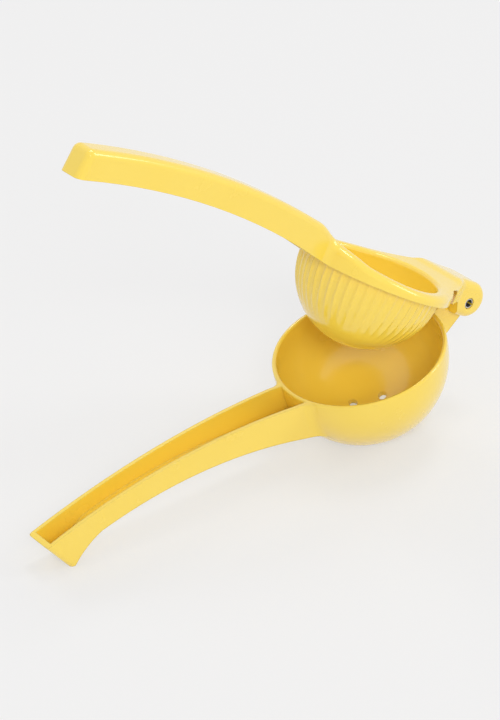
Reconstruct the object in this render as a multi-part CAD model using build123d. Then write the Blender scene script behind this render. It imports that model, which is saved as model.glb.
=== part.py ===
from build123d import *
import os
from math import acos, asin, atan2, cos, degrees, hypot, pi, radians, sin, sqrt, tan

# A hand lemon squeezer: two die castings on one slotted spring pin.
# Both arms are drawn in the bowl's own frame: X runs from the handles to the hinge, Z up through
# the bowl, and the origin is the centre of the rim. The upper arm is drawn with its dome inside
# the bowl and turned open about the pin. The whole is then tipped until the bowl's round bottom
# and the handle's heel stand on one plane, and its origin goes to the middle of its footprint.

# Bowl
bowl_radius = 37.0
bowl_collar = 4.2
bowl_wall = 2.0
lip_round = 0.9
drain_count = 6
drain_radius = 1.8
drain_ring_radius = 13.0

# Lower handle, a channel open at the top
lower_reach = 164.5
lower_end_height = 12.1
lower_top_bow = 6.2
lower_neck_half_width = 9.5
lower_mid_half_width = 7.1
lower_end_half_width = 6.7
lower_wall = 1.6
lower_floor = 2.2
lower_end_round = 1.5
channel_end_round = 4.0
root_drop = 17.0
root_inset = 7.0
belly_inset = 24.5
belly_height = 3.8
belly_bow = 7.6
neck_fillet = 5.0
neck_slice_shares = (-0.1, 0.35, 0.7, 1.05)

# Heel, the flare under the lower handle's end that stands on the table
heel_inset = 7.1
heel_height = -3.1
heel_bow = 1.2
foot_length = 2.2

# Hinge
pin_run = 15.65
pin_height = -4.57
pin_radius = 2.5
pin_wall = 0.8
pin_slot = 0.8
pin_chamfer = 0.4
pin_recess = 0.3
tongue_half_width = 5.0
tongue_boss_radius = 6.5
tongue_root_top = -3.0
tongue_root_bottom = -20.0
block_half_width = 10.5
block_rise = 5.2
shoulder_run = 3.5
wedge_round = 6.0
bridge_height = 1.0
ear_notch_back = 7.8
ear_heel_back = 4.15
ear_heel_drop = 6.3
ear_radius = 7.8
ear_forward = 1.4
ear_up = 1.3
pin_running_clearance = 0.05
tongue_clearance = 0.3
boss_clearance = 0.5
rim_clearance = 0.5
stop_rise = 2.6

# Press: the fluted dome, hollow from above, and the ring round its mouth
press_offset = -0.9
ring_gap = 2.5
ring_width = 3.9
ring_bottom = -5.1
ring_edge_round = 3.2
dome_centre_height = -5.9
dome_wall = 2.4
mouth_round = 2.0
flute_count = 48
flute_depth = 0.55
flute_fade_angle = 50.0
flute_row_shares = ((0.6, 0.8), (1, 0))
flute_strip_shares = ((0, 0), (0.3, 0.9), (0.7, 0.9))
crease_inset = 10.0
saddle_handle_height = 1.0
saddle_height = -0.9
saddle_reach = 5.0
saddle_hinge_height = 3.5

# Upper handle, a channel open underneath
upper_reach = 172.0
upper_end_height = 12.9
upper_top_bow = 5.6
upper_end_lean = 1.2
upper_end_bottom = 1.2
upper_belly_bow = 7.0
upper_neck_run = 7.0
upper_neck_height = 9.8
upper_half_width = 6.2
upper_wall = 1.8
upper_roof = 2.2
upper_neck_fillet = 4.0
shoulder_round = 14.0
crease_round = 9.0
steep_share = 0.5

# Pose in which the arms stand, the overrun of every cut and the search for a round that fits
opening_angle = 43.4
overrun = 5.0
round_step = 0.1
round_tries = 20

bowl_depth = bowl_radius + bowl_collar
sphere_height = -bowl_collar
inner_radius = bowl_radius - bowl_wall
lip_flat = lip_round * (1 - sqrt(0.5))
root_height = sphere_height - root_drop
belly_reach = lower_reach - belly_inset
heel_reach = lower_reach - heel_inset
ring_radius = bowl_radius - ring_gap
dome_radius = ring_radius - ring_width
upper_neck_reach = ring_radius + upper_neck_run
pin_reach = bowl_radius + pin_run
pin_axis = Axis((pin_reach, 0, pin_height), (0, 1, 0))


def slab(section, half_width):
    """Solid of an X-Z section, half_width to each side of the middle plane."""
    return extrude(Plane.XZ * section, half_width, both=True)


def bowed(start, end, bow):
    """Arc from start to end that stands bow above the middle of its chord."""
    middle = ((start[0] + end[0]) / 2, (start[1] + end[1]) / 2 + bow)
    return ThreePointArc(start, middle, end)


def raised(point, height):
    """The same X-Z point, higher by height."""
    return (point[0], point[1] + height)


def corner(shape, point):
    """The vertex of a shape nearest to a point."""
    return shape.vertices().sort_by_distance(point)[0]


def carried(before, after, radius):
    """Radius of the round between two edges, held to what half of the shorter one can carry."""
    turn = radians((before % 1).get_angle(after % 0))
    return min(radius, min(before.length, after.length) / 2 / tan(turn / 2))


def rounded(shape, edges, radius):
    """Shape with rounded edges, the radius held to the largest that its walls can carry."""
    return fillet(edges, min(radius, shape.max_fillet(edges, round_step, round_tries)))


def outer_edges(faces):
    """Edges that only one of the faces has, which is the outline of the whole patch."""
    edges = [edge for face in faces for edge in face.edges()]
    return [edge for edge in edges if sum(edge.is_same(other) for other in edges) == 1]


def rest_tilt():
    """Angle that brings the heel down to the level of the bowl's bottom, in radians."""
    drop = heel_height - sphere_height
    return asin(bowl_radius / hypot(heel_reach, drop)) + atan2(drop, heel_reach)


def bowl_level_radius(height):
    """Outer radius of the bowl at a height below its rim."""
    below = min(height - sphere_height, 0)
    return sqrt(bowl_radius**2 - below**2)


def bowl_blank():
    """The bowl's outside, filled, with the outer half of its blunted lip."""
    crest = bowl_radius - lip_round
    lip = Polyline((crest, 0), (bowl_radius - lip_flat, -lip_flat), (bowl_radius, -lip_round))
    outside = [
        Line((0, 0), (crest, 0)),
        lip,
        Line((bowl_radius, -lip_round), (bowl_radius, sphere_height)),
        TangentArc((bowl_radius, sphere_height), (0, -bowl_depth), tangent=(0, -1)),
        Line((0, -bowl_depth), (0, 0)),
    ]
    return revolve(Plane.XZ * make_face(outside), Axis.Z)


def bowl_cavity():
    """The room inside the bowl, with the inner half of the lip."""
    floor = bowl_wall - bowl_depth
    crest = inner_radius + lip_round
    lip = Polyline((crest, 0), (inner_radius + lip_flat, -lip_flat), (inner_radius, -lip_round))
    inside = [
        Line((0, overrun), (crest, overrun)),
        Line((crest, overrun), (crest, 0)),
        lip,
        Line((inner_radius, -lip_round), (inner_radius, sphere_height)),
        TangentArc((inner_radius, sphere_height), (0, floor), tangent=(0, -1)),
        Line((0, floor), (0, overrun)),
    ]
    return revolve(Plane.XZ * make_face(inside), Axis.Z)


def underside(lift, end_inset):
    """Lower edge of the handle from bowl to heel, raised by a lift and cut short at the end."""
    tilt = rest_tilt()
    root = raised((root_inset - bowl_radius, root_height), lift)
    belly = raised((-belly_reach, belly_height), lift)
    heel = raised((-heel_reach + end_inset, heel_height), lift)
    foot = (heel[0] + foot_length * cos(tilt), heel[1] - foot_length * sin(tilt))
    return root, heel, [bowed(root, belly, belly_bow), bowed(belly, foot, heel_bow), Line(foot, heel)]


def lower_handle_section():
    """Side view of the lower handle's outside, from inside the bowl to the end."""
    root, heel, edges = underside(0, 0)
    end = (-lower_reach, lower_end_height)
    rim = (lip_round - bowl_radius, 0)
    inside = (root[0], 0)
    edges += [Line(heel, end), bowed(end, rim, lower_top_bow), Line(rim, inside), Line(inside, root)]
    return make_face(edges)


def lower_channel_section():
    """Side view of the room in the lower handle, open above."""
    root, heel, edges = underside(lower_floor, lower_wall)
    lean = (lower_reach - heel_reach) / (lower_end_height - heel_height)
    above = lower_end_height + overrun
    end = (heel[0] - lean * (above - heel[1]), above)
    inside = (root[0], above)
    edges += [Line(heel, end), Line(end, inside), Line(inside, root)]
    section = make_face(edges)
    return fillet(corner(section, heel), channel_end_round)


def lower_handle_plan(wall):
    """Plan of the lower handle, narrower by a wall on each side."""
    neck = bowl_radius + neck_fillet
    middle = (neck + lower_reach) / 2
    end = lower_reach + overrun
    near = ThreePointArc(
        (-neck, lower_neck_half_width - wall),
        (-middle, lower_mid_half_width - wall),
        (-end, lower_end_half_width - wall),
    )
    far = mirror(near, about=Plane.XZ)
    inside = Line((0, lower_neck_half_width - wall), (-neck, lower_neck_half_width - wall))
    edges = [
        inside,
        near,
        Line((-end, lower_end_half_width - wall), (-end, wall - lower_end_half_width)),
        far,
        mirror(inside, about=Plane.XZ),
        Line((0, lower_neck_half_width - wall), (0, wall - lower_neck_half_width)),
    ]
    return make_face(edges)


def neck_slice(height):
    """Level slice of the sweep from the handle's flanks into the round of the bowl."""
    radius = bowl_level_radius(height)
    centre_y = lower_neck_half_width + neck_fillet
    centre_x = -sqrt((radius + neck_fillet) ** 2 - centre_y**2)
    share = radius / (radius + neck_fillet)
    on_bowl = (centre_x * share, centre_y * share)
    on_flank = (centre_x, lower_neck_half_width)
    sweep = TangentArc(on_flank, on_bowl, tangent=(1, 0))
    edges = [
        sweep,
        Line(on_bowl, (on_bowl[0], -on_bowl[1])),
        mirror(sweep, about=Plane.XZ),
        Line((on_flank[0], -on_flank[1]), on_flank),
    ]
    return Pos(0, 0, height) * make_face(edges)


def lower_handle():
    """The channel-shaped handle with the necks that blend it into the bowl."""
    through = bowl_radius
    section = lower_handle_section()
    side = slab(section, through)
    depth_range = bowl_depth + overrun
    plan = Pos(0, 0, -depth_range) * extrude(lower_handle_plan(0), 2 * depth_range)
    arm = side & plan
    end_face = arm.faces().sort_by(Axis.X)[0]
    flank_edges = [edge for edge in end_face.edges() if edge.bounding_box().size.Y < lower_wall]
    arm = fillet(flank_edges, lower_end_round)
    slices = [neck_slice(root_height * share) for share in neck_slice_shares]
    arm += loft(slices) & slab(section, through)
    room = slab(lower_channel_section(), through)
    room_plan = extrude(lower_handle_plan(lower_wall), 2 * depth_range)
    return arm - (room & (Pos(0, 0, -depth_range) * room_plan))


def tongue():
    """The hinge tongue that rises from the bowl's wall to the pin."""
    boss = Pos(pin_reach, pin_height) * Circle(tongue_boss_radius)
    root = Line((inner_radius, tongue_root_top), (inner_radius, tongue_root_bottom))
    return slab(make_hull(boss.edges() + root.edges()), tongue_half_width)


def pin_hole(radius):
    """Round cutter along the hinge pin."""
    reach = block_half_width + overrun
    return slab(Pos(pin_reach, pin_height) * Circle(radius), reach)


def drains():
    """Drain holes: one in the middle of the bowl and a ring round it."""
    drill = Pos(0, 0, -bowl_depth) * Cylinder(drain_radius, bowl_depth)
    return [drill] + [place * drill for place in PolarLocations(drain_ring_radius, drain_count)]


def lower_arm():
    """Bowl, channel handle and hinge tongue, cast in one."""
    arm = bowl_blank() + lower_handle() + tongue()
    arm -= bowl_cavity()
    arm -= pin_hole(pin_radius + pin_running_clearance)
    turn = Rot(0, 0, 180 / drain_count)
    return arm - [turn * drain for drain in drains()]


def ear_centre():
    """Centre of the ears' round ends."""
    return (pin_reach + ear_forward, pin_height + ear_up)


def ear_tangent(point, side):
    """Where a line from an X-Z point touches the ears' round end: side 1 below, -1 above."""
    centre = ear_centre()
    run, rise = point[0] - centre[0], point[1] - centre[1]
    angle = atan2(rise, run) % (2 * pi) + side * acos(ear_radius / hypot(run, rise))
    return (centre[0] + ear_radius * cos(angle), centre[1] + ear_radius * sin(angle))


def arm_section():
    """Side view of the whole upper arm, filled, from the handle's end to the ears."""
    end = (-upper_reach, upper_end_height)
    end_bottom = (-upper_reach - upper_end_lean, upper_end_bottom)
    neck = (-upper_neck_reach, upper_neck_height)
    crease = (crease_inset - ring_radius, saddle_handle_height)
    hinge = (ring_radius, saddle_hinge_height)
    shoulder = (ring_radius + shoulder_run, block_rise)
    heel = (pin_reach - ear_heel_back, pin_height - ear_heel_drop)
    notch = (pin_reach - ear_notch_back, ring_bottom)
    ring_start = (-ring_radius, ring_bottom)
    ear_top, ear_bottom = ear_tangent(shoulder, -1), ear_tangent(heel, 1)
    ear_end = raised((ear_centre()[0] + ear_radius, 0), ear_centre()[1])
    top, slope = bowed(end, neck, upper_top_bow), Line(neck, crease)
    saddle = ThreePointArc(crease, (-saddle_reach, saddle_height), hinge)
    rise, crown = Line(hinge, shoulder), Line(shoulder, ear_top)
    section = make_face([
        top, slope, saddle, rise, crown,
        ThreePointArc(ear_top, ear_end, ear_bottom),
        Polyline(ear_bottom, heel, notch, ring_start),
        bowed(ring_start, end_bottom, upper_belly_bow),
        Line(end_bottom, end),
    ])
    for point, before, after, radius in (
        (neck, top, slope, shoulder_round),
        (crease, slope, saddle, crease_round),
        (hinge, saddle, rise, crease_round),
        (shoulder, rise, crown, crease_round),
    ):
        section = fillet(corner(section, point), carried(before, after, radius))
    return section


def arm_plan():
    """Plan of the handle, the ring and the wedge that narrows from the ring to the ears."""
    end = upper_reach + upper_end_lean + overrun
    strip = Pos(-end / 2, 0) * Rectangle(end, 2 * upper_half_width)
    notch_reach = pin_reach - ear_notch_back
    ear_length = ear_notch_back + ear_forward + ear_radius + overrun
    ears = Pos(notch_reach + ear_length / 2, 0) * Rectangle(ear_length, 2 * block_half_width)
    ring = Pos(press_offset, 0) * Circle(ring_radius)
    narrow = Line((notch_reach, block_half_width), (notch_reach, -block_half_width))
    plan = make_hull(ring.edges() + narrow.edges()) + ears + strip
    for x, y, radius in (
        (-ring_radius, upper_half_width, upper_neck_fillet),
        (notch_reach, block_half_width, wedge_round),
    ):
        plan = fillet([corner(plan, (x, y)), corner(plan, (x, -y))], radius)
    return plan


def upper_channel():
    """The room under the upper handle's roof, between its flanks and its two ends."""
    end = -upper_reach + upper_wall
    neck = -upper_neck_reach
    top = [
        raised((end, upper_end_height), -upper_roof),
        raised((neck, upper_neck_height), -upper_roof),
    ]
    below = -bowl_depth
    section = make_face([
        bowed(top[0], top[1], upper_top_bow),
        Line(top[1], (neck, below)),
        Line((neck, below), (end, below)),
        Line((end, below), top[0]),
    ])
    return slab(section, upper_half_width - upper_wall)


def dome_outline(height, radius, depth):
    """Level outline of the dome, with a flute of three strips between each two ribs."""
    pitch = 360 / flute_count
    marks = [
        (rib + along, depth * sunk)
        for rib in range(flute_count)
        for along, sunk in flute_strip_shares
    ]
    strips = []
    for (start, start_depth), (end, end_depth) in zip(marks, marks[1:] + [(flute_count, 0)]):
        path = [(start, start_depth), ((start + end) / 2, (start_depth + end_depth) / 2), (end, end_depth)]
        points = [Vector(radius - sunk, 0).rotate(Axis.Z, pitch * turn) for turn, sunk in path]
        strips.append(ThreePointArc(*points))
    return Pos(0, 0, height) * make_face(strips)


def fluted_dome():
    """The press dome, filled, with flutes that start under the ring and fade out below."""
    rows = [dome_outline(ring_bottom + ring_edge_round, dome_radius, flute_depth)]
    for angle_share, depth_share in flute_row_shares:
        angle = radians(flute_fade_angle * angle_share)
        height = dome_centre_height - dome_radius * sin(angle)
        rows.append(dome_outline(height, dome_radius * cos(angle), flute_depth * depth_share))
    fade = radians(flute_fade_angle)
    edge = (dome_radius * cos(fade), dome_centre_height - dome_radius * sin(fade))
    base = (0, dome_centre_height - dome_radius)
    heading = (-sin(fade), -cos(fade))
    level = (0, edge[1])
    cap = make_face([TangentArc(edge, base, tangent=heading), Line(base, level), Line(level, edge)])
    return Pos(press_offset, 0, 0) * (loft(rows) + revolve(Plane.XZ * cap, Axis.Z))


def rim_room():
    """Groove under the bridge, between the ring and the ears, for the bowl's rim."""
    rim = Circle(bowl_radius + rim_clearance) - Circle(inner_radius - rim_clearance)
    hinge_side = Pos(bowl_radius, 0) * Rectangle(2 * bowl_radius, 2 * bowl_depth)
    return Pos(0, 0, -bowl_depth) * extrude(rim & hinge_side, bowl_depth + bridge_height)


def hinge_slot():
    """Room between the ears for the tongue, closed above by the bridge."""
    bore = Pos(pin_reach, pin_height) * Circle(tongue_boss_radius + boss_clearance)
    beyond = pin_reach + 2 * ear_radius
    under = pin_height - 2 * ear_radius
    room = make_face(Polyline(
        (ring_radius, bridge_height),
        (pin_reach, bridge_height),
        (pin_reach, pin_height + stop_rise),
        (beyond, pin_height + stop_rise),
        (beyond, under),
        (ring_radius, under),
        close=True,
    ))
    return slab(room + bore, tongue_half_width + tongue_clearance)


def mouth_edges(arm):
    """Edges in which the hollow of the cup meets the top of the ring and of the neck."""
    hollow = arm.faces().filter_by(GeomType.SPHERE).sort_by(SortBy.AREA)
    inside = [face for face in hollow if face.radius < dome_radius - dome_wall / 2][-1]
    return [edge for edge in inside.edges() if edge.bounding_box().size.Y > mouth_round]


def rounded_edges(arm):
    """Edges along the top of the arm and round the ears, with the uprights of the handle's end."""
    tops = [face for face in arm.faces() if face.normal_at().Z > steep_share]
    ear_end = arm.faces().sort_by(Axis.X)[-1]
    outline = outer_edges(tops + [ear_end])
    outline = [edge for edge in outline if edge.center().X < 0 or abs(edge.center().Y) > upper_wall]
    end_face = arm.faces().sort_by(Axis.X)[0]
    uprights = [edge for edge in end_face.edges() if edge.bounding_box().size.Z > ring_edge_round]
    return outline + uprights


def upper_arm():
    """Fluted press, ring, channel handle and hinge ears, cast in one and drawn shut."""
    plan = Pos(0, 0, -bowl_depth) * extrude(arm_plan(), 2 * bowl_depth)
    arm = slab(arm_section(), ring_radius + overrun) & plan
    arm = rounded(arm, rounded_edges(arm), ring_edge_round)
    arm -= upper_channel()
    arm -= rim_room()
    arm -= hinge_slot()
    arm += fluted_dome()
    arm -= Pos(press_offset, 0, dome_centre_height) * Sphere(dome_radius - dome_wall)
    arm = rounded(arm, mouth_edges(arm), mouth_round)
    return arm - pin_hole(pin_radius)


def hinge_pin():
    """Slotted spring pin, rolled from strip, a little shorter than the ears are wide."""
    half_length = block_half_width - pin_recess
    pin = slab(Pos(pin_reach, pin_height) * Circle(pin_radius), half_length)
    pin = chamfer(pin.edges(), pin_chamfer)
    pin -= pin_hole(pin_radius - pin_wall)
    gap = Pos(pin_reach + pin_radius, pin_height) * Rectangle(2 * pin_radius, pin_slot)
    return pin - slab(gap, block_half_width)


def placed(nodes):
    """Opens the upper arm, tips both arms on to the table and centres the footprint."""
    standing = {}
    for name, shape in nodes.items():
        turned = shape if name == "lower_arm" else shape.rotate(pin_axis, opening_angle)
        standing[name] = turned.rotate(Axis.Y, -degrees(rest_tilt()))
    boxes = [shape.bounding_box() for shape in standing.values()]
    middle_x = (min(box.min.X for box in boxes) + max(box.max.X for box in boxes)) / 2
    shift = Pos(-middle_x, 0, -min(box.min.Z for box in boxes))
    return {name: shift * shape for name, shape in standing.items()}, shift


def main():
    nodes = {"lower_arm": lower_arm(), "upper_arm": upper_arm(), "hinge_pin": hinge_pin()}
    standing, shift = placed(nodes)
    os.makedirs("parts", exist_ok=True)
    for name, shape in standing.items():
        export_step(shape, f"parts/{name}.step")
    print("tilt", round(degrees(rest_tilt()), 3), "shift", shift.position)


if __name__ == "__main__":
    main()
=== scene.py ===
"""Studio scene of a hand lemon squeezer: two enamelled castings on one steel spring pin."""

import logging
from dataclasses import dataclass
from enum import Enum
from math import cos, radians, sin
from typing import Any, Union

import bmesh
import bpy
from mathutils import Matrix, Vector


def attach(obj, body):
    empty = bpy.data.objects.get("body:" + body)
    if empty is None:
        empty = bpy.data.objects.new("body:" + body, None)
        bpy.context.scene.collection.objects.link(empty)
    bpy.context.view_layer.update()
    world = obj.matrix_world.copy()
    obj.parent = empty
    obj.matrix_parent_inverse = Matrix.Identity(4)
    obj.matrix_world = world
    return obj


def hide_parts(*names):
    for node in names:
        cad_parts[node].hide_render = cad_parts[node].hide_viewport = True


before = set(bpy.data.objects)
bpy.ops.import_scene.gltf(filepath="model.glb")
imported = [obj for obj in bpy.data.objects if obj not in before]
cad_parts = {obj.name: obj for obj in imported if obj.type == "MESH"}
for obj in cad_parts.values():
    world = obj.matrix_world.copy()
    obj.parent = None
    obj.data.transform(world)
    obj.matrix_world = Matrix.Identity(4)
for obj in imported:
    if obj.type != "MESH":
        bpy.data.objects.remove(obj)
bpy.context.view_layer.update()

Tone = tuple[float, float, float]
Point = tuple[float, float, float]
Operand = Union["Signal", float, Tone]
log = logging.getLogger("lemon_squeezer")


class Body(Enum):
    """The two bodies that the hinge joins."""

    LOWER = "lower"
    UPPER = "upper"


class Slot(Enum):
    """The record's material slots."""

    ENAMEL = "enamel"
    PIN_STEEL = "pin_steel"


class Signal:
    """One output socket of a node tree; arithmetic on it adds Math nodes."""

    def __init__(self, graph: "NodeGraph", socket: bpy.types.NodeSocket | None) -> None:
        """Keeps the socket and the graph it belongs to."""
        self.graph = graph
        self.socket = socket

    def maths(self, operation: str, *values: Operand) -> "Signal":
        """Adds one Math node.

        Args:
            operation: Blender's name of the operation.
            values: The operands in order.

        Returns:
            The node's result.
        """
        return self.graph.node("ShaderNodeMath", {"operation": operation}, dict(enumerate(values)))

    def __add__(self, other: Operand) -> "Signal":
        """Sum."""
        return self.maths("ADD", self, other)

    def __radd__(self, other: Operand) -> "Signal":
        """Sum with a plain number first."""
        return self.maths("ADD", other, self)

    def __sub__(self, other: Operand) -> "Signal":
        """Difference."""
        return self.maths("SUBTRACT", self, other)

    def __rsub__(self, other: Operand) -> "Signal":
        """Difference from a plain number."""
        return self.maths("SUBTRACT", other, self)

    def __mul__(self, other: Operand) -> "Signal":
        """Product."""
        return self.maths("MULTIPLY", self, other)

    def __rmul__(self, other: Operand) -> "Signal":
        """Product with a plain number first."""
        return self.maths("MULTIPLY", other, self)

    def __or__(self, other: Operand) -> "Signal":
        """The larger of two signals, which joins two masks."""
        return self.maths("MAXIMUM", self, other)

    def eased(self, low: float, high: float) -> "Signal":
        """Smooth step.

        Args:
            low: The value that gives 0.
            high: The value that gives 1.

        Returns:
            A signal from 0 to 1.
        """
        settings = {"interpolation_type": "SMOOTHSTEP"}
        return self.graph.node("ShaderNodeMapRange", settings,
                               {"Value": self, "From Min": low, "From Max": high})


class NodeGraph:
    """A shader node tree, emptied and built up node by node."""

    def __init__(self, tree: bpy.types.NodeTree) -> None:
        """Takes over a tree and removes the nodes in it."""
        self.tree = tree
        self.tree.nodes.clear()

    def node(self, kind: str, settings: dict[str, Any] | None = None,
             inputs: dict[Any, Operand] | None = None, output: int | str = 0) -> Signal:
        """Adds one node.

        Args:
            kind: Blender's type name of the node.
            settings: Properties, which are set first.
            inputs: Values or signals by socket number, name or identifier.
            output: Number, name or identifier of the socket that is wanted.

        Returns:
            The wanted output, or an empty signal where the node has none.
        """
        made = self.tree.nodes.new(kind)
        for key, value in (settings or {}).items():
            setattr(made, key, value)
        for key, value in (inputs or {}).items():
            self.feed(self.find(made.inputs, key), value)
        return Signal(self, self.find(made.outputs, output) if made.outputs else None)

    @staticmethod
    def find(sockets: Any, key: int | str) -> bpy.types.NodeSocket:
        """Finds a socket by its number, identifier or name."""
        if isinstance(key, int):
            return sockets[key]
        return next(s for s in sockets if key == s.identifier or key == s.name)

    def feed(self, socket: bpy.types.NodeSocket, value: Operand) -> None:
        """Links a signal to the socket, or sets a plain value on it."""
        if isinstance(value, Signal):
            self.tree.links.new(value.socket, socket)
        elif isinstance(value, tuple) and socket.type == "RGBA":
            socket.default_value = (*value, 1.0)
        else:
            socket.default_value = value

    def seen(self) -> Signal:
        """1 for the rays of the eye and of reflections, 0 for the rays that carry light."""
        camera = self.node("ShaderNodeLightPath", output="Is Camera Ray")
        glossy = self.node("ShaderNodeLightPath", output="Is Glossy Ray")
        return camera | glossy | self.node("ShaderNodeLightPath", output="Is Transmission Ray")


class FinishGraph(NodeGraph):
    """The node tree of one material."""

    def __init__(self, name: str) -> None:
        """Starts a material of that name."""
        self.material = bpy.data.materials.new(name)
        self.material.use_nodes = True
        super().__init__(self.material.node_tree)

    def place(self) -> Signal:
        """Object coordinates, which are metres in the part's own frame."""
        return self.node("ShaderNodeTexCoord", output="Object")

    def noise(self, at: Signal, scale: float, detail: float = 2.0) -> Signal:
        """Noise from 0 to 1.

        Args:
            at: Coordinates.
            scale: Features per metre.
            detail: Octaves.

        Returns:
            The noise value.
        """
        return self.node("ShaderNodeTexNoise", {}, {"Vector": at, "Scale": scale, "Detail": detail})

    def nibs(self, at: Signal, spacing: float, size: float) -> Signal:
        """Scattered round nibs.

        Args:
            at: Coordinates.
            spacing: Mean distance between nibs in metres.
            size: Radius of a nib as a share of the spacing.

        Returns:
            1 on a nib's crown and 0 between the nibs.
        """
        away = self.node("ShaderNodeTexVoronoi", {}, {"Vector": at, "Scale": 1 / spacing}, "Distance")
        return 1 - away.eased(0.0, size)

    def mix(self, factor: Operand, first: Operand, second: Operand) -> Signal:
        """Mixes two colours.

        Args:
            factor: 0 for the first, 1 for the second.
            first: Colour at 0.
            second: Colour at 1.

        Returns:
            The mixed colour.
        """
        inputs = {"Factor_Float": factor, "A_Color": first, "B_Color": second}
        return self.node("ShaderNodeMix", {"data_type": "RGBA"}, inputs, "Result_Color")

    def shader(self, **inputs: Operand) -> Signal:
        """Adds a Principled shader.

        Args:
            inputs: Socket names with _ for the blanks, and their values or signals.

        Returns:
            The shader.
        """
        named = {key.replace("_", " "): value for key, value in inputs.items()}
        return self.node("ShaderNodeBsdfPrincipled", {}, named)

    def close(self, shader: Signal) -> bpy.types.Material:
        """Leads a shader to the output and returns the finished material."""
        self.node("ShaderNodeOutputMaterial", {}, {"Surface": shader})
        return self.material


@dataclass(frozen=True)
class YellowEnamel:
    """Stove enamel on a casting: orange peel, faint clouds, thin on the edges, a few dust nibs."""

    name: str
    edge_round: float
    body_tone: Tone = (0.955, 0.695, 0.08)
    deep_tone: Tone = (0.95, 0.672, 0.06)
    thin_tone: Tone = (0.96, 0.75, 0.15)
    cloud_scale: float = 34.0
    cloud_share: float = 0.4
    smear_scale: float = 85.0
    smear_roughness: float = 0.05
    clean_roughness: float = 0.23
    peel_scale: float = 650.0
    fine_peel_scale: float = 1800.0
    fine_peel_share: float = 0.35
    peel_height: float = 0.000012
    peel_strength: float = 0.15
    nib_spacing: float = 0.011
    nib_size: float = 0.028
    nib_rise: float = 0.5
    thin_share: float = 0.5

    def material(self) -> bpy.types.Material:
        """Builds the enamel and returns its material."""
        graph = FinishGraph(self.name)
        at = graph.place()
        cloud = graph.noise(at, self.cloud_scale, 3.0).eased(0.35, 0.7)
        smear = graph.noise(at, self.smear_scale, 4.0).eased(0.4, 0.75)
        fine_peel = graph.noise(at, self.fine_peel_scale, 1.0)
        peel = graph.noise(at, self.peel_scale, 2.0) + self.fine_peel_share * fine_peel
        peel = peel + self.nib_rise * graph.nibs(at, self.nib_spacing, self.nib_size)
        rounded = graph.node("ShaderNodeBevel", {"samples": 6}, {"Radius": self.edge_round})
        facing = graph.node("ShaderNodeNewGeometry", output="Normal")
        flush = graph.node("ShaderNodeVectorMath", {"operation": "DOT_PRODUCT"},
                           {0: rounded, 1: facing}, "Value")
        edge = (1 - flush).eased(0.02, 0.3)
        tone = graph.mix(cloud * self.cloud_share, self.body_tone, self.deep_tone)
        tone = graph.mix(edge * self.thin_share, tone, self.thin_tone)
        normal = graph.node("ShaderNodeBump", {}, {
            "Strength": self.peel_strength, "Distance": self.peel_height,
            "Height": peel, "Normal": rounded})
        roughness = self.clean_roughness + self.smear_roughness * smear
        return graph.close(graph.shader(
            Base_Color=tone, Roughness=roughness, Normal=normal, IOR=1.5,
            Specular_IOR_Level=0.7, Coat_Weight=0.6, Coat_Roughness=0.08))


@dataclass(frozen=True)
class SpringSteel:
    """Bright rolled spring steel, drawn along the pin."""

    bright_tone: Tone = (0.66, 0.65, 0.64)
    dull_tone: Tone = (0.42, 0.41, 0.40)
    drawn_scale: float = 2400.0
    drawn_squash: Point = (1.0, 0.08, 1.0)
    drawn_share: float = 0.35
    drawn_depth: float = 0.00001
    drawn_roughness: float = 0.2
    bright_roughness: float = 0.24
    stain_scale: float = 700.0
    stain_share: float = 0.5

    def material(self) -> bpy.types.Material:
        """Builds the steel and returns its material."""
        graph = FinishGraph("spring_steel")
        stretched = graph.node("ShaderNodeMapping", {}, {
            "Vector": graph.place(), "Scale": self.drawn_squash})
        drawn = graph.noise(stretched, self.drawn_scale, 3.0)
        stain = graph.noise(graph.place(), self.stain_scale, 3.0).eased(0.45, 0.75)
        dulled = self.drawn_share * drawn + self.stain_share * stain
        tone = graph.mix(dulled, self.bright_tone, self.dull_tone)
        normal = graph.node("ShaderNodeBump", {}, {
            "Strength": 0.4, "Distance": self.drawn_depth, "Height": drawn})
        roughness = self.bright_roughness + self.drawn_roughness * drawn
        return graph.close(graph.shader(
            Base_Color=tone, Metallic=1.0, Roughness=roughness, Normal=normal))


@dataclass(frozen=True)
class SweepPaper:
    """Matt white studio paper under the object, lit through from below as on a light table, with a
    painted shadow under the bowl where that glow is taken out.
    """

    tone: Tone = (0.83, 0.83, 0.84)
    glow_tone: Tone = (0.89, 0.885, 0.88)
    glow_share: float = 0.62
    # Painted shadow under the bowl: its centre, set off towards the far side, then the radius where
    # it is full and the radius where it ends.
    painted_shadow_centre: Point = (0.066, 0.012, 0.0)
    painted_shadow_inner: float = 0.020
    painted_shadow_outer: float = 0.030
    sweep_start: float = 0.6
    sweep_end: float = 2.6
    fibre_scale: float = 900.0
    fibre_share: float = 0.5
    fibre_shade: float = 0.985

    def material(self) -> bpy.types.Material:
        """Builds the paper, with a painted shadow under the bowl and all white far away, and returns
        its material.
        """
        graph = FinishGraph("sweep_paper")
        at = graph.place()
        fibre = graph.noise(at, self.fibre_scale, 3.0)
        away = graph.node("ShaderNodeVectorMath", {"operation": "DISTANCE"},
                          {0: at, 1: self.painted_shadow_centre}, "Value")
        sweep = away.eased(self.sweep_start, self.sweep_end)
        # Painted shadow: the glow fades out towards this point under the bowl, so only the paper's
        # own shading shows there.
        clear = away.eased(self.painted_shadow_inner, self.painted_shadow_outer)
        lit = self.glow_share * clear + (1 - self.glow_share) * sweep
        fibre_tone = tuple(self.fibre_shade * part for part in self.tone)
        shade = graph.mix(fibre * self.fibre_share, self.tone, fibre_tone)
        paper = graph.shader(Base_Color=shade, Roughness=0.55, Specular_IOR_Level=0.3)
        glow = graph.node("ShaderNodeEmission", {}, {"Color": self.glow_tone, "Strength": 1.0})
        return graph.close(graph.node("ShaderNodeMixShader", {}, {
            0: lit * graph.seen(), 1: paper, 2: glow}))


Finish = Union[YellowEnamel, SpringSteel]


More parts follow.
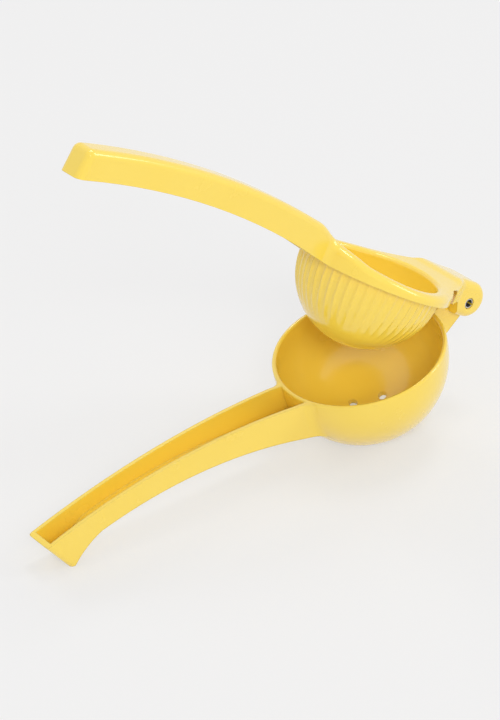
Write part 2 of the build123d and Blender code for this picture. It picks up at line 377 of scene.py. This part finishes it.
@dataclass
class NodePiece:
    """A piece that follows one node of the part: its mesh closed, smoothed and dressed."""

    node: str
    name: str
    body: Body
    slot: Slot
    finish: Finish
    crease_angle: float
    merge_distance: float = 0.000002

    def build(self) -> bpy.types.Object:
        """Joins the node's loose triangles into one smooth mesh.

        Returns:
            The new object, at the origin.
        """
        shape = bmesh.new()
        shape.from_mesh(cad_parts[self.node].data)
        bmesh.ops.remove_doubles(shape, verts=shape.verts, dist=self.merge_distance)
        bmesh.ops.dissolve_degenerate(shape, edges=shape.edges, dist=self.merge_distance)
        self.smooth(shape)
        mesh = bpy.data.meshes.new(self.name)
        shape.to_mesh(mesh)
        shape.free()
        for layer in ("custom_normal", "sharp_face"):
            if layer in mesh.attributes:
                mesh.attributes.remove(mesh.attributes[layer])
        piece = bpy.data.objects.new(self.name, mesh)
        bpy.context.scene.collection.objects.link(piece)
        weighted = piece.modifiers.new("even_normals", "WEIGHTED_NORMAL")
        weighted.keep_sharp = True
        return piece

    def smooth(self, shape: bmesh.types.BMesh) -> None:
        """Shades every face smooth and keeps the edges that turn by more than the crease angle."""
        for face in shape.faces:
            face.smooth = True
        for edge in shape.edges:
            edge.smooth = edge.is_manifold and edge.calc_face_angle() < radians(self.crease_angle)

    def dress(self, piece: bpy.types.Object) -> None:
        """Gives the piece its finish and its body, and hides the node's own mesh.

        Args:
            piece: The object that build made.
        """
        piece.data.materials.clear()
        piece.data.materials.append(self.finish.material())
        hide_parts(self.node)
        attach(piece, self.body.value)
        log.info("%s: %d faces", self.name, len(piece.data.polygons))


@dataclass
class LowerArm(NodePiece):
    """Bowl with drains, channel handle and hinge tongue; the bowl's lip is rounded by its shading."""

    node: str = "lower_arm"
    name: str = "lower_arm_enamel"
    body: Body = Body.LOWER
    slot: Slot = Slot.ENAMEL
    finish: Finish = YellowEnamel("lower_yellow_enamel", 0.0008)
    crease_angle: float = 48.0


@dataclass
class UpperArm(NodePiece):
    """Fluted press dome, ring, channel handle and hinge ears; the flutes' ribs are crisp."""

    node: str = "upper_arm"
    name: str = "upper_arm_enamel"
    body: Body = Body.UPPER
    slot: Slot = Slot.ENAMEL
    finish: Finish = YellowEnamel("upper_yellow_enamel", 0.0003)
    crease_angle: float = 16.0


@dataclass
class HingePin(NodePiece):
    """Slotted spring pin, with crisp edges."""

    node: str = "hinge_pin"
    name: str = "hinge_pin_steel"
    body: Body = Body.UPPER
    slot: Slot = Slot.PIN_STEEL
    finish: Finish = SpringSteel()
    crease_angle: float = 24.0


@dataclass(frozen=True)
class PhotoCamera:
    """The photograph's camera, fitted to the bowl's rim, the handles and the hinge."""

    azimuth: float = -38.32
    elevation: float = 30.3
    distance: float = 1.06783
    focal_px: float = 2565.6
    frame_px: tuple[int, int] = (500, 720)
    rim_px: tuple[float, float] = (358.73, 349.30)
    rim_point: Point = (0.0503464, 0.0, 0.0410753)
    film: float = 36.0

    def build(self) -> bpy.types.Object:
        """Sets up the camera and makes it the scene's.

        Returns:
            The camera object.
        """
        turn, lift = radians(self.azimuth), radians(self.elevation)
        right = Vector((cos(turn), sin(turn), 0))
        back = Vector((sin(turn) * cos(lift), -cos(turn) * cos(lift), sin(lift)))
        up = back.cross(right)
        per_px = self.distance / self.focal_px
        across = (self.rim_px[0] - self.frame_px[0] / 2) * per_px
        above = (self.frame_px[1] / 2 - self.rim_px[1]) * per_px
        eye = Vector(self.rim_point) - right * across - up * above + back * self.distance
        lens = bpy.data.cameras.new("photo_camera")
        lens.sensor_width = self.film
        lens.lens = self.focal_px / max(self.frame_px) * self.film
        camera = bpy.data.objects.new("photo_camera", lens)
        turned = Matrix((right, up, back)).transposed().to_4x4()
        camera.matrix_world = Matrix.Translation(eye) @ turned
        bpy.context.scene.collection.objects.link(camera)
        bpy.context.scene.camera = camera
        return camera


@dataclass(frozen=True)
class SoftBox:
    """One large soft lamp, which may be kept out of mirror images."""

    name: str
    place: Point
    width: float
    height: float
    power: float
    aim: Point = (0.0, 0.0, 0.05)
    mirrored: bool = True

    def build(self) -> bpy.types.Object:
        """Hangs the lamp, facing its aim, and returns it."""
        lamp = bpy.data.lights.new(self.name, "AREA")
        lamp.shape = "RECTANGLE"
        lamp.size, lamp.size_y = self.width, self.height
        lamp.energy = self.power
        holder = bpy.data.objects.new(self.name, lamp)
        holder.location = self.place
        holder.visible_glossy = self.mirrored
        facing = Vector(self.aim) - Vector(self.place)
        holder.rotation_euler = facing.to_track_quat("-Z", "Y").to_euler()
        bpy.context.scene.collection.objects.link(holder)
        return holder


@dataclass
class Studio:
    """Pale paper floor, soft boxes and an even white room."""

    floor_half: float = 5.0
    room_light: float = 0.55
    seen_white: float = 0.885
    lamps: tuple[SoftBox, ...] = (
        SoftBox("top_box", (0.9, 0.3, 3.3), 0.8, 0.8, 19.0),
        SoftBox("front_fill", (-0.75, -3.3, 2.25), 1.2, 1.2, 13.0, mirrored=False),
        SoftBox("lens_fill", (-1.5, -2.35, 1.9), 0.8, 0.8, 31.5, mirrored=False),
        SoftBox("right_box", (2.7, -1.7, 1.9), 0.8, 1.6, 19.0),
        SoftBox("back_fill", (0.3, 3.2, 1.7), 1.2, 1.2, 22.0, mirrored=False),
    )

    def build(self) -> None:
        """Lays the floor, hangs the lamps and lights the room."""
        self.lay_floor()
        for lamp in self.lamps:
            lamp.build()
        self.light_room()
        bpy.context.scene.view_settings.view_transform = "Standard"

    def lay_floor(self) -> None:
        """Makes the floor under the part."""
        shape = bmesh.new()
        bmesh.ops.create_grid(shape, x_segments=1, y_segments=1, size=self.floor_half)
        mesh = bpy.data.meshes.new("paper_floor")
        shape.to_mesh(mesh)
        shape.free()
        floor = bpy.data.objects.new("paper_floor", mesh)
        mesh.materials.append(SweepPaper().material())
        bpy.context.scene.collection.objects.link(floor)

    def light_room(self) -> None:
        """Lights the world evenly and shows the floor's own white to the eye and in reflections."""
        world = bpy.data.worlds.new("white_room")
        bpy.context.scene.world = world
        world.use_nodes = True
        graph = NodeGraph(world.node_tree)
        level = self.room_light + (self.seen_white - self.room_light) * graph.seen()
        glow = graph.node("ShaderNodeBackground", {}, {"Color": (1.0, 1.0, 1.0), "Strength": level})
        graph.node("ShaderNodeOutputWorld", {}, {"Surface": glow})


@dataclass
class LemonSqueezer:
    """The two castings and the pin that joins them."""

    lower: LowerArm
    upper: UpperArm
    pin: HingePin

    def build(self) -> None:
        """Builds and dresses the three pieces."""
        for part in (self.lower, self.upper, self.pin):
            part.dress(part.build())


def main() -> None:
    """Builds the camera, the studio and the squeezer in order."""
    logging.basicConfig(level=logging.INFO)
    PhotoCamera().build()
    Studio().build()
    LemonSqueezer(LowerArm(), UpperArm(), HingePin()).build()


if __name__ == "__main__":
    main()
